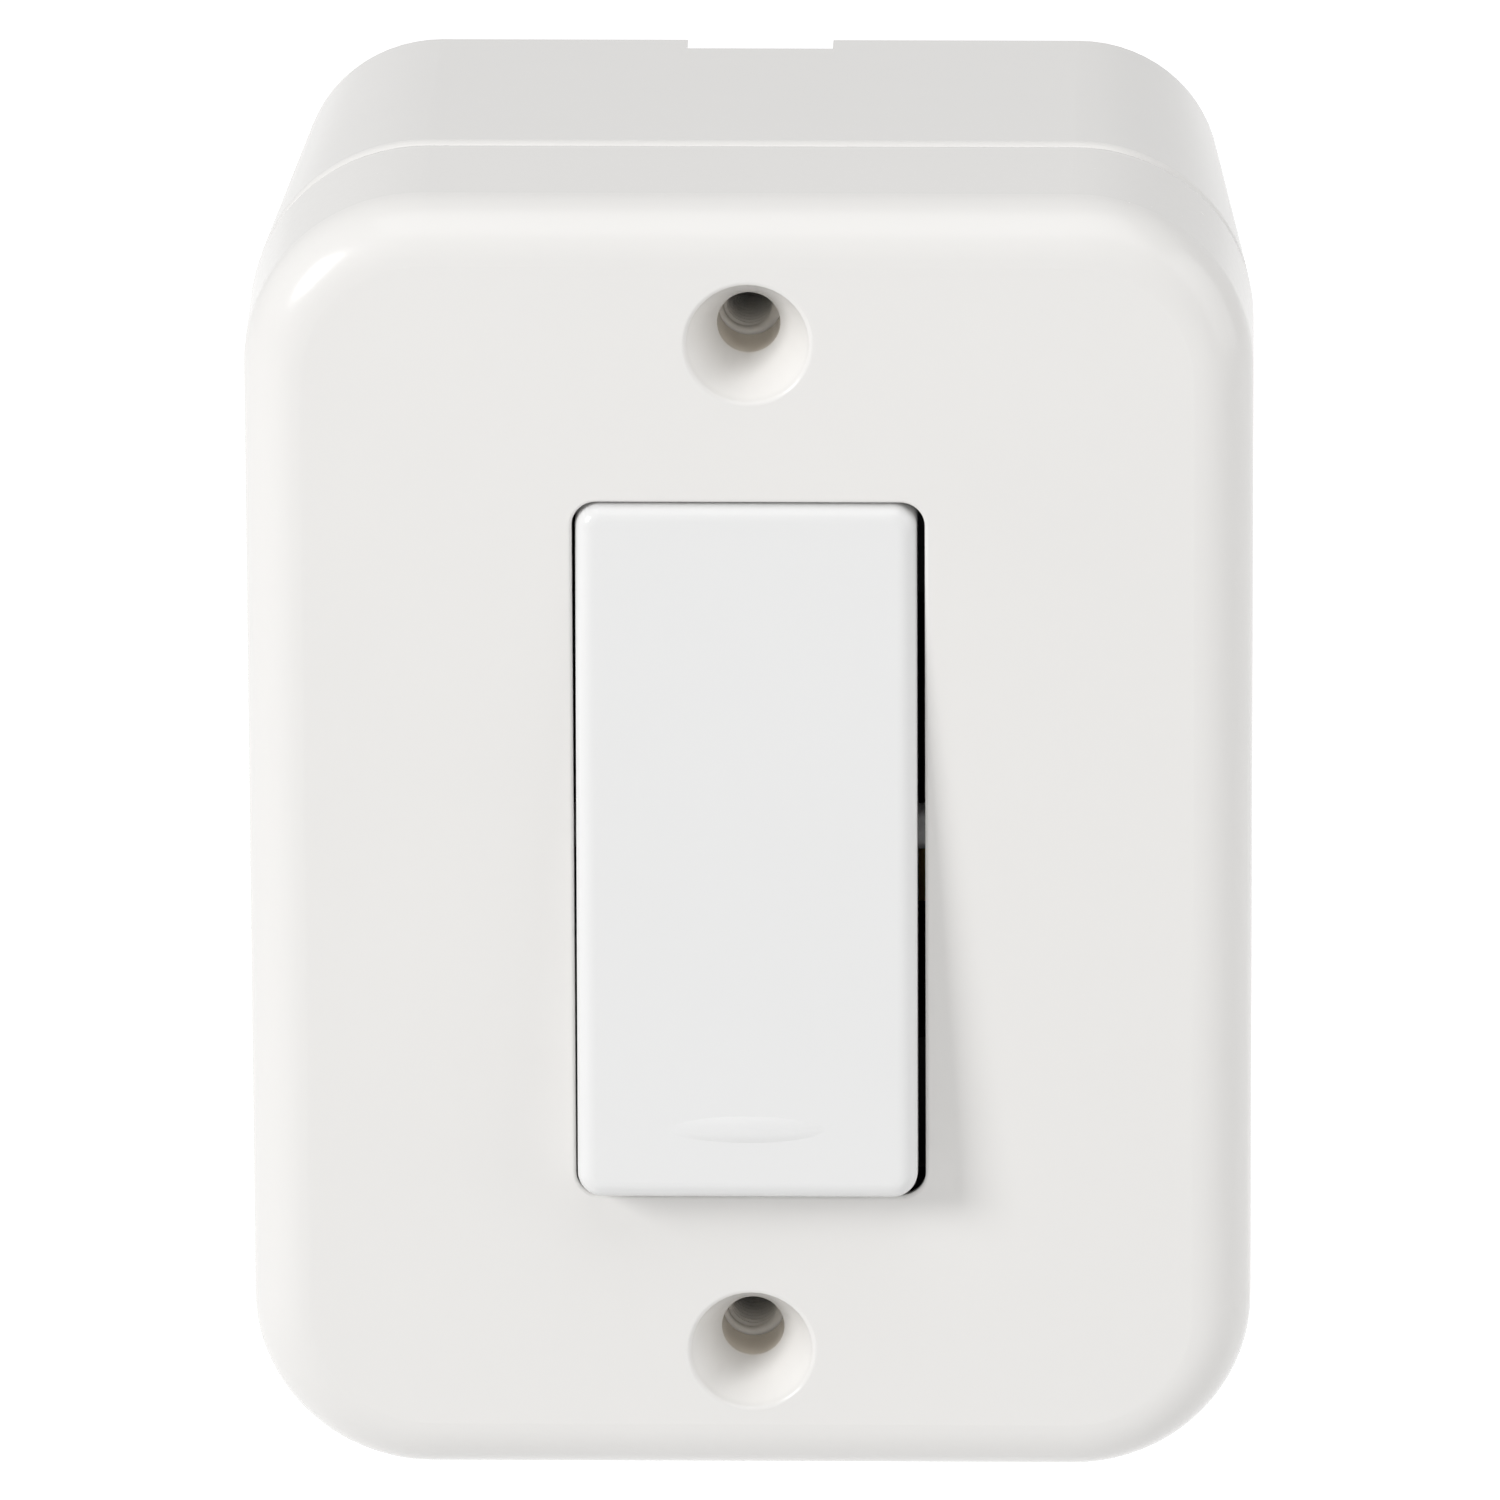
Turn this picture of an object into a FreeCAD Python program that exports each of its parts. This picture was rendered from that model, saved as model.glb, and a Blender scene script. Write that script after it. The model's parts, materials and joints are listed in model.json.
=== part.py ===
"""Surface-mounted rocker wall switch, one STEP file per sub-part.

Millimetres. +X is to the right of someone facing the switch, the front faces -Y
and +Z is up. The origin is the centre of the back face, which lies on the wall.
The key and the contact lever are drawn at mid-throw and turned to the stored
pose, in which the top of the key is pressed in.
"""
import FreeCAD, Part
import math
import os
from FreeCAD import Vector

os.makedirs("parts", exist_ok=True)

# --- Case -------------------------------------------------------------------
cover_width = 65.2
cover_height = 87.4
switch_depth = 43.0          # wall to the cover's face
cover_depth = 14.2           # cover's face to the joint with the rear box
corner_radius = 11.6
front_fillet = 3.8
cover_wall = 2.0
front_wall = 2.4
cover_back_rounding = 0.9    # outer edge of the cover at the joint
box_front_rounding = 0.9     # outer edge of the rear box at the joint
box_step = 0.05              # how far the rear box stands inside the cover's outline
box_draft = 4.5              # degrees a side, narrowing towards the wall
box_wall = 2.0
back_wall = 2.2
lip_height = 3.0             # tongue of the rear box that locates the cover
lip_root = 3.0
lip_wall = 1.4
lip_gap = 0.2

# --- Cover fixing screws (not fitted) and their inserts ---------------------
screw_spacing = 69.4
screw_hole_diameter = 4.1
sink_diameter = 8.1
sink_depth = 4.5
sink_edge = 0.35             # rounding of the countersink's rim
boss_diameter = 10.4
boss_land = 3.5              # straight hole below the countersink
pillar_diameter = 8.4
pillar_gap = 0.1             # between the cover's boss and the pillar
insert_diameter = 5.6
insert_length = 8.0
insert_bore_diameter = 3.0   # minor diameter of an M3.5 thread
insert_fit = 0.03
insert_groove_width = 1.0
insert_groove_depth = 0.4
insert_lead = 0.3            # countersink of the bore
screw_tail_diameter = 3.9    # clearance hole below the insert
screw_tail_room = 6.0
pillar_rib = 2.0

# --- Wall side --------------------------------------------------------------
wall_hole_diameter = 4.2
wall_hole_inset = 6.45       # hole axis from the inner side walls
wall_hole_inset_z = 9.55     # hole axis from the inner end walls
cable_opening_width = 22.0
cable_opening_height = 30.0
cable_opening_corner = 4.0
notch_width = 9.6            # cable notch in the top edge, open to the wall
notch_depth = 2.4

# --- Window and key ---------------------------------------------------------
window_width = 22.8
window_height = 47.8
window_corner = 1.6
window_edge = 0.25           # rounding of the window's front edge
window_land = 0.3            # straight part of the window's ends, relieved behind it
side_gap = 0.35              # key to window at each side
key_play = 0.15              # how far the key sits to the left of the window's middle
end_gap = 0.22               # key to window at the ends, behind the front edge
pivot_depth = 5.0            # pivot behind the cover's face
face_proud = 2.2             # key's face in front of the cover at mid-throw
half_throw = 4.5             # degrees either side of mid-throw
key_wall = 1.4
key_face_wall = 1.6
key_corner = 1.6
key_edge = 1.2
stop_gap = 0.06
trunnion_diameter = 3.0
trunnion_fit = 0.05
trunnion_reach = 2.3
ear_radius = 3.4
ear_root = 0.5               # ears and ribs stop this far short of the skirt's edge
tube_wall = 1.15
rib = 1.2
middle_rib_reach = 1.0       # middle rib's back edge in front of the pivot
ridge_length = 9.9
ridge_width = 1.8
ridge_height = 0.2
ridge_from_foot = 4.5        # middle of the ridge above the key's lower edge

# --- Plunger and spring -----------------------------------------------------
plunger_reach = 15.5         # pivot to the plunger's tip
tip_radius = 1.6
plunger_diameter = 4.8
plunger_fit = 0.05
plunger_top = 2.8            # shoulder, behind the pivot
plunger_shoulder = 12.0
tube_end = 9.0
tube_floor = 5.0             # blind end of the tube, in front of the pivot
pilot_diameter = 2.4
pilot_length = 2.0
spring_wire = 0.5
spring_turns = 7
spring_sides = 10            # straight runs in each turn
spring_gap = 0.1

# --- Contact lever ----------------------------------------------------------
lever_throw = 8.0            # degrees either side of level
lever_gap = 0.05             # plunger tip to the level lever
lever_half_length = 13.0
lever_width = 6.0
lever_thickness = 1.0
lever_rise = 0.3             # lever's back face in front of its pivot
journal_radius = 0.8
journal_fit = 0.05
journal_reach = 4.7
contact_pitch = 11.0         # pivot to each contact
contact_radius = 1.6
contact_head = 1.0
contact_dome = 5.0
contact_gap = 0.05
rivet_shank = 0.9
rivet_tail = 0.45
rivet_tail_edge = 0.35       # upset tail past the shank
rivet_tail_room = 0.25       # round the tail in the base

# --- Housing and base -------------------------------------------------------
housing_wall = 1.6
bath_front_gap = 0.3         # housing's rim behind the cover's inner face
bath_side_gap = 0.6          # window's sides to the bath's
bath_gap = 0.5               # swept end of the key to the housing
bath_floor_depth = 7.0       # bath's floor behind the cover's face
body_half_height = 17.0
base_front_depth = 29.7      # base's front face behind the cover's face
base_thickness = 1.8
base_width = 46.0
base_height = 50.0
base_corner = 3.0
foot_half_width = 5.0
foot_reach = 5.6
foot_thickness = 2.0
rivet_radius = 1.5
rivet_head_radius = 2.6
rivet_head_height = 0.8
mount_screw_x = 18.5
mount_screw_z = 21.0
mount_screw_radius = 1.5
mount_screw_length = 7.0
mount_head_radius = 2.7
mount_head_height = 1.8
mount_head_chamfer = 0.5
cross_half_length = 1.7
cross_half_width = 0.4
pilot_spare = 0.5            # pilot hole past the screw's tip
back_skin = 0.8              # least left between a blind hole and the wall
post_radius = 3.0
hole_fit = 0.1

# --- Terminals --------------------------------------------------------------
strip_thickness = 1.0
strip_width = 5.0
strip_pad = 1.0              # base pads under the strips
strip_end = 1.0              # strip past the contact's head
strip_tip_in = 0.5           # strip's tip inside the cage's outer face
step_in = 2.5                # step of the side strips inside the bath's side
ear_thickness = 1.0
ear_half_width = 2.6
ear_lip = 0.9                # ears in front of the lever's pivot
ear_clear = 0.3
cage_x = 18.2
cage_width = 7.0
cage_height = 8.5
cage_floor = 0.9
cage_window = 4.4
cage_opening = 5.3
cage_top = 3.2
cage_gap = 0.2               # base pads to the cages
clamp_screw_radius = 1.7
clamp_hole_fit = 0.05
clamp_head_radius = 3.0
clamp_head_height = 2.2
clamp_head_chamfer = 0.4
clamp_head_gap = 0.6
clamp_tip_in = 0.5
slot_width = 0.9
slot_depth = 0.9

# --- Modelling --------------------------------------------------------------
over = 1.0                   # overrun of a cut past the face it opens
bite = 0.5                   # overlap of two shapes that are fused
tiny = 0.01                  # slack when edges are picked by position

# --- Worked out -------------------------------------------------------------
front_y = -switch_depth
joint_y = front_y + cover_depth
cover_inner_y = front_y + front_wall
pivot_y = front_y + pivot_depth
face_reach = pivot_depth + face_proud
screw_z = screw_spacing / 2
boss_end_y = front_y + sink_depth + boss_land
pillar_front_y = boss_end_y + pillar_gap
key_width = window_width - 2 * side_gap
land_reach = pivot_depth - window_land
key_end_radius = math.hypot(window_height / 2 - end_gap, land_reach)
face_half = math.sqrt(key_end_radius ** 2 - face_reach ** 2)
bath_half_width = window_width / 2 + bath_side_gap
bath_half_height = key_end_radius + bath_gap
bath_front_y = cover_inner_y + bath_front_gap
bath_floor_y = front_y + bath_floor_depth
floor_reach = pivot_depth - bath_floor_depth
half_throw_sin = math.sin(math.radians(half_throw))
half_throw_cos = math.cos(math.radians(half_throw))
skirt_reach = (floor_reach + stop_gap + key_end_radius * half_throw_sin) / half_throw_cos
housing_half_width = bath_half_width + housing_wall
body_inner_half_height = body_half_height - housing_wall
base_front_y = front_y + base_front_depth
base_back_y = base_front_y + base_thickness
lever_top = lever_rise + lever_thickness
lever_y = pivot_y + plunger_reach + lever_top + lever_gap
mount_tip_y = min(base_front_y + mount_screw_length, -back_skin - pilot_spare)
strip_back_y = base_front_y - strip_pad
strip_front_y = strip_back_y - strip_thickness
cage_back_y = base_front_y
cage_front_y = cage_back_y - cage_floor - cage_opening - cage_top
bore_radius = plunger_diameter / 2 + plunger_fit
tube_radius = bore_radius + tube_wall
step_x = bath_half_width - step_in
strip_tip_x = cage_x + cage_width / 2 - strip_tip_in


def block(x0, x1, y0, y1, z0, z1):
    """Box between two corners, given in any order on each axis."""
    low = Vector(min(x0, x1), min(y0, y1), min(z0, z1))
    return Part.makeBox(abs(x1 - x0), abs(y1 - y0), abs(z1 - z0), low)


def rod(radius, y0, y1, x=0.0, z=0.0):
    """Cylinder along Y."""
    return Part.makeCylinder(radius, abs(y1 - y0), Vector(x, min(y0, y1), z), Vector(0, 1, 0))


def rod_x(radius, x0, x1, y, z=0.0):
    """Cylinder along X."""
    return Part.makeCylinder(radius, abs(x1 - x0), Vector(min(x0, x1), y, z), Vector(1, 0, 0))


def cone(radius0, radius1, y0, y1, x=0.0, z=0.0):
    """Cone along +Y, radius0 at y0."""
    return Part.makeCone(radius0, radius1, y1 - y0, Vector(x, y0, z), Vector(0, 1, 0))


def fuse(*shapes):
    """One solid out of shapes that meet, with merged faces."""
    return shapes[0].multiFuse(list(shapes[1:])).removeSplitter()


def outline(width, height, radius, y):
    """Closed rounded rectangle in the plane at y, centred on the Y axis."""
    half_w = width / 2
    half_h = height / 2
    edges = []
    corners = [(1, 1, 0), (-1, 1, 90), (-1, -1, 180), (1, -1, 270)]
    arcs = []
    for sign_x, sign_z, start in corners:
        centre = Vector(sign_x * (half_w - radius), y, sign_z * (half_h - radius))
        points = [centre + Vector(radius * math.cos(math.radians(start + turn)), 0,
                                  radius * math.sin(math.radians(start + turn)))
                  for turn in (0, 45, 90)]
        arcs.append(points)
    for here, after in zip(arcs, arcs[1:] + arcs[:1]):
        edges.append(Part.Arc(*here).toShape())
        edges.append(Part.makeLine(here[2], after[0]))
    return Part.Wire(edges)


def slab(width, height, radius, y0, y1):
    """Rounded rectangular bar along Y."""
    face = Part.Face(outline(width, height, radius, min(y0, y1)))
    return face.extrude(Vector(0, abs(y1 - y0), 0))


def edges_at(solid, y, inside=None):
    """Edges that lie wholly in the plane at y, within the half-size inside (x, z)."""
    found = []
    for edge in solid.Edges:
        bounds = edge.BoundBox
        if abs(bounds.YMin - y) > tiny or abs(bounds.YMax - y) > tiny:
            continue
        if inside:
            reach_x = max(abs(bounds.XMin), abs(bounds.XMax))
            reach_z = max(abs(bounds.ZMin), abs(bounds.ZMax))
            if reach_x > inside[0] + tiny or reach_z > inside[1] + tiny:
                continue
        found.append(edge)
    return found


def box_section(y, inset):
    """Width, height and corner radius of the drafted rear box at y, inset by a wall."""
    shrink = box_step + (y - joint_y) * math.tan(math.radians(box_draft)) + inset
    return (cover_width - 2 * shrink, cover_height - 2 * shrink, corner_radius - shrink)


def drafted(y0, y1, inset):
    """Tapered bar that follows the rear box's outline."""
    wires = [outline(*box_section(y, inset), y) for y in (y0, y1)]
    return Part.makeLoft(wires, True, True)


def turned_key(shape):
    """Turn a piece that moves with the key from mid-throw to the stored pose, off centre by the play."""
    shape.rotate(Vector(0, pivot_y, 0), Vector(1, 0, 0), -half_throw)
    shape.translate(Vector(-key_play, 0, 0))
    return shape


def turned_lever(shape):
    """Turn a piece that moves with the contact lever to the stored pose."""
    shape.rotate(Vector(0, lever_y, 0), Vector(1, 0, 0), lever_throw)
    return shape


def front_cover():
    """Cover with a rounded front edge, a window, and two countersunk bosses."""
    body = slab(cover_width, cover_height, corner_radius, front_y, joint_y)
    body = body.makeFillet(front_fillet, edges_at(body, front_y))
    body = body.makeFillet(cover_back_rounding, edges_at(body, joint_y))
    cavity = slab(cover_width - 2 * cover_wall, cover_height - 2 * cover_wall,
                  corner_radius - cover_wall, cover_inner_y, joint_y + over)
    cavity = cavity.makeFillet(front_fillet - cover_wall, edges_at(cavity, cover_inner_y))
    body = body.cut(cavity)
    for z in (-screw_z, screw_z):
        body = body.fuse(rod(boss_diameter / 2, cover_inner_y - bite, boss_end_y, 0, z))
    window = slab(window_width, window_height, window_corner, front_y - over, joint_y)
    relief = Part.makeLoft([outline(window_width, window_height, window_corner, front_y + window_land),
                            outline(window_width, 2 * bath_half_height, window_corner, bath_front_y)],
                           True, True)
    body = body.cut(window).cut(relief)
    for z in (-screw_z, screw_z):
        sink = cone(sink_diameter / 2, screw_hole_diameter / 2, front_y, front_y + sink_depth, 0, z)
        body = body.cut(sink.fuse(rod(screw_hole_diameter / 2, front_y, joint_y, 0, z)))
    rims = edges_at(body, front_y, (sink_diameter, screw_z + sink_diameter))
    rims = [edge for edge in rims if abs(edge.BoundBox.Center.z) > bath_half_height]
    body = body.makeFillet(sink_edge, rims)
    window_edges = edges_at(body, front_y, (window_width / 2, window_height / 2))
    return body.makeFillet(window_edge, window_edges)


def rear_box():
    """Drafted box on the wall, with the tongue, pillars, posts and openings."""
    body = drafted(joint_y, 0, 0)
    body = body.makeFillet(box_front_rounding, edges_at(body, joint_y))
    body = body.cut(drafted(joint_y - over, -back_wall, box_wall))
    lip_outer = [cover_width - 2 * (cover_wall + lip_gap), cover_height - 2 * (cover_wall + lip_gap),
                 corner_radius - cover_wall - lip_gap]
    lip_inner = [lip_outer[0] - 2 * lip_wall, lip_outer[1] - 2 * lip_wall, lip_outer[2] - lip_wall]
    lip = slab(*lip_outer, joint_y - lip_height, joint_y + lip_root)
    lip = lip.cut(slab(*lip_inner, joint_y - lip_height - over, joint_y + lip_root + over))
    parts = [body, lip]
    inner_top = box_section(-back_wall, box_wall)[1] / 2
    for side in (-1, 1):
        parts.append(rod(pillar_diameter / 2, pillar_front_y, -back_wall / 2, 0, side * screw_z))
        parts.append(block(-pillar_rib / 2, pillar_rib / 2, joint_y + lip_root, -back_wall / 2,
                           side * screw_z, side * (inner_top + box_wall / 2)))
        for x in (-mount_screw_x, mount_screw_x):
            parts.append(rod(post_radius, base_back_y, -back_wall / 2, x, side * mount_screw_z))
    body = fuse(*parts)
    for side in (-1, 1):
        z = side * screw_z
        insert_end = pillar_front_y + insert_length
        body = body.cut(rod(insert_diameter / 2 + insert_fit, pillar_front_y - over, insert_end, 0, z))
        body = body.cut(rod(screw_tail_diameter / 2, insert_end - over, insert_end + screw_tail_room, 0, z))
        for x in (-mount_screw_x, mount_screw_x):
            pilot = rod(mount_screw_radius + hole_fit, base_back_y - over, mount_tip_y + pilot_spare,
                        x, side * mount_screw_z)
            body = body.cut(pilot)
    for x, z in wall_holes():
        body = body.cut(rod(wall_hole_diameter / 2, -back_wall - over, over, x, z))
    body = body.cut(slab(cable_opening_width, cable_opening_height, cable_opening_corner,
                         -back_wall - over, over))
    notch = block(-notch_width / 2, notch_width / 2, -notch_depth, over,
                  inner_top - bite, cover_height / 2)
    return body.cut(notch)


def wall_holes():
    """Axes (x, z) of the four wall-screw holes."""
    width, height, _ = box_section(-back_wall, box_wall)
    x = width / 2 - wall_hole_inset
    z = height / 2 - wall_hole_inset_z
    return [(sx * x, sz * z) for sx in (-1, 1) for sz in (-1, 1)]


def threaded_inserts():
    """Two plated inserts in the pillars, plain bore, with two knurl grooves each."""
    solids = []
    for z in (-screw_z, screw_z):
        start = pillar_front_y
        body = rod(insert_diameter / 2, start, start + insert_length, 0, z)
        for share in (1 / 3, 2 / 3):
            middle = start + insert_length * share
            ring = rod(insert_diameter, middle - insert_groove_width / 2,
                       middle + insert_groove_width / 2, 0, z)
            ring = ring.cut(rod(insert_diameter / 2 - insert_groove_depth,
                                start, start + insert_length, 0, z))
            body = body.cut(ring)
        bore = rod(insert_bore_diameter / 2, start - over, start + insert_length + over, 0, z)
        lead = cone(insert_bore_diameter / 2 + insert_lead, insert_bore_diameter / 2,
                    start, start + insert_lead, 0, z)
        solids.append(body.cut(bore.fuse(lead)))
    return Part.Compound(solids)


def rocker():
    """Hollow key with barrel ends about its pivot, trunnions and the plunger tube."""
    def reach(distance):
        return pivot_y - distance

    side = key_width / 2
    prism = block(-side, side, reach(face_reach), reach(skirt_reach), -2 * face_half, 2 * face_half)
    body = prism.common(rod_x(key_end_radius, -side, side, pivot_y))
    uprights = [edge for edge in body.Edges
                if edge.BoundBox.YLength > key_edge and edge.BoundBox.XLength < tiny]
    body = body.makeFillet(key_corner, uprights)
    body = body.makeFillet(key_edge, edges_at(body, reach(face_reach)))
    inner = block(-side + key_wall, side - key_wall, reach(face_reach - key_face_wall),
                  reach(skirt_reach - over), -2 * face_half, 2 * face_half)
    body = body.cut(inner.common(rod_x(key_end_radius - key_wall, -side, side, pivot_y)))
    parts = [body]
    under = reach(face_reach - key_face_wall / 2)
    for sign in (-1, 1):
        inner_x = sign * (side - key_wall)
        parts.append(block(inner_x, sign * side, reach(skirt_reach + ear_root), pivot_y,
                           -ear_radius, ear_radius))
        parts.append(rod_x(ear_radius, inner_x, sign * side, pivot_y))
        parts.append(rod_x(trunnion_diameter / 2, inner_x, sign * (side + trunnion_reach), pivot_y))
        for z in (-face_half / 2, face_half / 2):
            parts.append(block(0, sign * (side - key_wall / 2), under, reach(skirt_reach + ear_root),
                               z - rib / 2, z + rib / 2))
        parts.append(block(0, sign * (side - key_wall / 2), under, reach(middle_rib_reach),
                           -rib / 2, rib / 2))
    parts.append(rod(tube_radius, under, pivot_y + tube_end))
    body = fuse(*parts)
    body = body.cut(rod(bore_radius, reach(tube_floor), pivot_y + tube_end + over))
    return turned_key(body.fuse(ridge()))


def ridge():
    """Lens-shaped ridge near the key's lower edge: the outer slice of a lemon shape."""
    belly = (ridge_height + (ridge_width / 2) ** 2 / ridge_height) / 2
    axis_in = belly - ridge_height
    chord_half = ridge_length / 2 * math.sqrt(belly / ridge_height)
    face_y = pivot_y - face_reach
    y = face_y + axis_in
    z = -face_half + ridge_from_foot
    ends = [Vector(-chord_half, y, z), Vector(chord_half, y, z)]
    arc = Part.Arc(ends[0], Vector(0, y - belly, z), ends[1]).toShape()
    face = Part.Face(Part.Wire([arc, Part.makeLine(ends[1], ends[0])]))
    lemon = face.revolve(ends[0], Vector(1, 0, 0), 360)
    slice_box = block(-ridge_length, ridge_length, face_y - over, face_y + key_face_wall / 2,
                      z - ridge_width, z + ridge_width)
    return lemon.common(slice_box)


def plunger():
    """Plunger in the key's tube: shoulder, nose with a ball end, spring pilot."""
    top = pivot_y + plunger_top
    nose_end = pivot_y + plunger_reach - tip_radius
    body = fuse(rod(plunger_diameter / 2, top, pivot_y + plunger_shoulder),
                rod(tip_radius, pivot_y + plunger_shoulder - bite, nose_end),
                Part.makeSphere(tip_radius, Vector(0, nose_end, 0)),
                rod(pilot_diameter / 2, top - pilot_length, top + bite))
    return turned_key(body)


def plunger_spring():
    """Compression spring between the tube's blind end and the plunger's shoulder."""
    start = pivot_y - tube_floor + spring_gap + spring_wire / 2
    length = tube_floor + plunger_top - 2 * spring_gap - spring_wire
    radius = bore_radius - spring_gap - spring_wire / 2
    steps = spring_turns * spring_sides
    points = []
    for step in range(steps + 1):
        angle = 2 * math.pi * step / spring_sides
        points.append(Vector(radius * math.cos(angle), start + length * step / steps,
                             radius * math.sin(angle)))
    path = Part.Wire([Part.makeLine(here, after) for here, after in zip(points, points[1:])])
    profile = Part.Wire(Part.makeCircle(spring_wire / 2, points[0], points[1] - points[0]))
    mitred_corners = 1
    return turned_key(path.makePipeShell([profile], True, False, mitred_corners))


def contact_lever():
    """See-saw that rocks on two journals in the ears of the common terminal."""
    body = fuse(block(-lever_width / 2, lever_width / 2, lever_y - lever_top, lever_y - lever_rise,
                      -lever_half_length, lever_half_length),
                rod_x(journal_radius, -journal_reach, journal_reach, lever_y))
    for z in (-contact_pitch, contact_pitch):
        body = body.cut(rod(rivet_shank, lever_y - lever_top - over, lever_y, 0, z))
    return turned_lever(body)


def domed_rivet(face_y, seat_y, tail_y, z, facing):
    """Contact rivet along Y: domed face at face_y, head down to seat_y, upset tail at tail_y.

    facing is -1 for a dome towards the front and +1 for one towards the wall.
    """
    head = rod(contact_radius, face_y + facing * over, seat_y, 0, z)
    centre = Vector(0, face_y - facing * contact_dome, z)
    head = head.common(Part.makeSphere(contact_dome, centre))
    shank = rod(rivet_shank, seat_y, tail_y, 0, z)
    tail = rod(rivet_shank + rivet_tail_edge, tail_y, tail_y - facing * rivet_tail, 0, z)
    return fuse(head, shank, tail)


def moving_contact(side):
    """Contact rivet on the upper (+1) or lower (-1) arm of the lever."""
    seat_y = lever_y - lever_rise
    tail_y = lever_y - lever_top
    return turned_lever(domed_rivet(seat_y + contact_head, seat_y, tail_y, side * contact_pitch, 1))


def fixed_face_y():
    """Apex of the fixed contacts' domes, just clear of a closed moving contact."""
    angle = math.radians(lever_throw)
    centre_y = -lever_rise + contact_head - contact_dome
    centre_z = -contact_pitch
    moved_y = centre_y * math.cos(angle) - centre_z * math.sin(angle)
    moved_z = centre_y * math.sin(angle) + centre_z * math.cos(angle)
    apart = 2 * contact_dome + contact_gap
    fixed_centre = moved_y + math.sqrt(apart ** 2 - (moved_z + contact_pitch) ** 2)
    return lever_y + fixed_centre - contact_dome


def fixed_contact(side):
    """Contact rivet on the upper (+1) or lower (-1) terminal strip."""
    face_y = fixed_face_y()
    seat_y = face_y + contact_head
    return domed_rivet(face_y, seat_y, seat_y + strip_thickness, side * contact_pitch, -1)


def side_terminal(side):
    """Upper (+1) or lower (-1) strip: contact end, step down, end in the clamp cage."""
    front = fixed_face_y() + contact_head
    z0 = side * contact_pitch - strip_width / 2
    z1 = side * contact_pitch + strip_width / 2
    body = fuse(block(-contact_radius - strip_end, step_x, front, front + strip_thickness, z0, z1),
                block(step_x - strip_thickness, step_x, front, strip_back_y, z0, z1),
                block(step_x - strip_thickness, strip_tip_x, strip_front_y, strip_back_y, z0, z1))
    return body.cut(rod(rivet_shank, front - over, front + strip_thickness + over,
                        0, side * contact_pitch))


def common_terminal():
    """Strip under the lever with two slotted ears that carry the lever's journals."""
    half = strip_width / 2
    inner = lever_width / 2 + ear_clear
    outer = inner + ear_thickness
    parts = [block(-strip_tip_x, outer, strip_front_y, strip_back_y, -half, half)]
    for sign in (-1, 1):
        parts.append(block(sign * inner, sign * outer, lever_y - ear_lip, strip_back_y,
                           -ear_half_width, ear_half_width))
    body = fuse(*parts)
    slot = journal_radius + journal_fit
    body = body.cut(rod_x(slot, -outer - over, outer + over, lever_y))
    return body.cut(block(-outer - over, outer + over, lever_y - ear_lip - over, lever_y, -slot, slot))


def cage(x, z):
    """Brass clamp cage: a block with a window along Z and a threaded top."""
    body = block(x - cage_width / 2, x + cage_width / 2, cage_front_y, cage_back_y,
                 z - cage_height / 2, z + cage_height / 2)
    window = block(x - cage_window / 2, x + cage_window / 2, cage_back_y - cage_floor - cage_opening,
                   cage_back_y - cage_floor, z - cage_height, z + cage_height)
    inlet = block(x, x - math.copysign(cage_width, x), strip_front_y - hole_fit,
                  strip_back_y + hole_fit, z - strip_width / 2 - hole_fit,
                  z + strip_width / 2 + hole_fit)
    outlet = block(x, math.copysign(strip_tip_x + hole_fit, x), strip_front_y - hole_fit,
                   strip_back_y + hole_fit, z - strip_width / 2 - hole_fit,
                   z + strip_width / 2 + hole_fit)
    hole = rod(clamp_screw_radius + clamp_hole_fit, cage_front_y - over, cage_front_y + cage_top + over,
               x, z)
    return body.cut(window).cut(inlet).cut(outlet).cut(hole)


def clamp_screw(x, z):
    """Slotted screw, backed out so that a wire can be put in."""
    head_back = cage_front_y - clamp_head_gap
    head = rod(clamp_head_radius, head_back - clamp_head_height, head_back, x, z)
    head = head.makeChamfer(clamp_head_chamfer, edges_at(head, head_back - clamp_head_height))
    tip = cage_front_y + cage_top + clamp_tip_in
    body = fuse(head, rod(clamp_screw_radius, head_back - bite, tip, x, z))
    groove = block(x - clamp_head_radius - over, x + clamp_head_radius + over,
                   head_back - clamp_head_height - over, head_back - clamp_head_height + slot_depth,
                   z - slot_width / 2, z + slot_width / 2)
    return body.cut(groove)


def mechanism_housing():
    """Insulating housing: a bath for the key, a narrower body, feet and strip slots."""
    half_w = housing_half_width
    bath = slab(2 * half_w, 2 * (bath_half_height + housing_wall), window_corner + housing_wall,
                bath_front_y, bath_floor_y + housing_wall)
    lower = block(-half_w, half_w, bath_floor_y, base_front_y, -body_half_height, body_half_height)
    parts = [bath, lower]
    for side in (-1, 1):
        parts.append(block(-foot_half_width, foot_half_width, base_front_y - foot_thickness,
                           base_front_y, side * (body_half_height - bite),
                           side * (body_half_height + foot_reach)))
    body = fuse(*parts)
    body = body.cut(slab(2 * bath_half_width, 2 * bath_half_height, window_corner,
                         bath_front_y - over, bath_floor_y))
    body = body.cut(block(-bath_half_width, bath_half_width, bath_floor_y - over, base_front_y + over,
                          -body_inner_half_height, body_inner_half_height))
    body = body.cut(rod_x(trunnion_diameter / 2 + trunnion_fit, -half_w - over, half_w + over, pivot_y))
    slot = strip_width / 2 + hole_fit
    for x, z in cage_places():
        body = body.cut(block(0, math.copysign(half_w + over, x), strip_front_y - hole_fit,
                              base_front_y + over, z - slot, z + slot))
    for side in (-1, 1):
        body = body.cut(rod(rivet_radius + hole_fit, base_front_y - foot_thickness - over,
                            base_front_y + over, 0, side * rivet_z()))
    return body


def rivet_z():
    """Height of the housing rivets above the centre."""
    return body_half_height + foot_reach / 2


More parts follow.
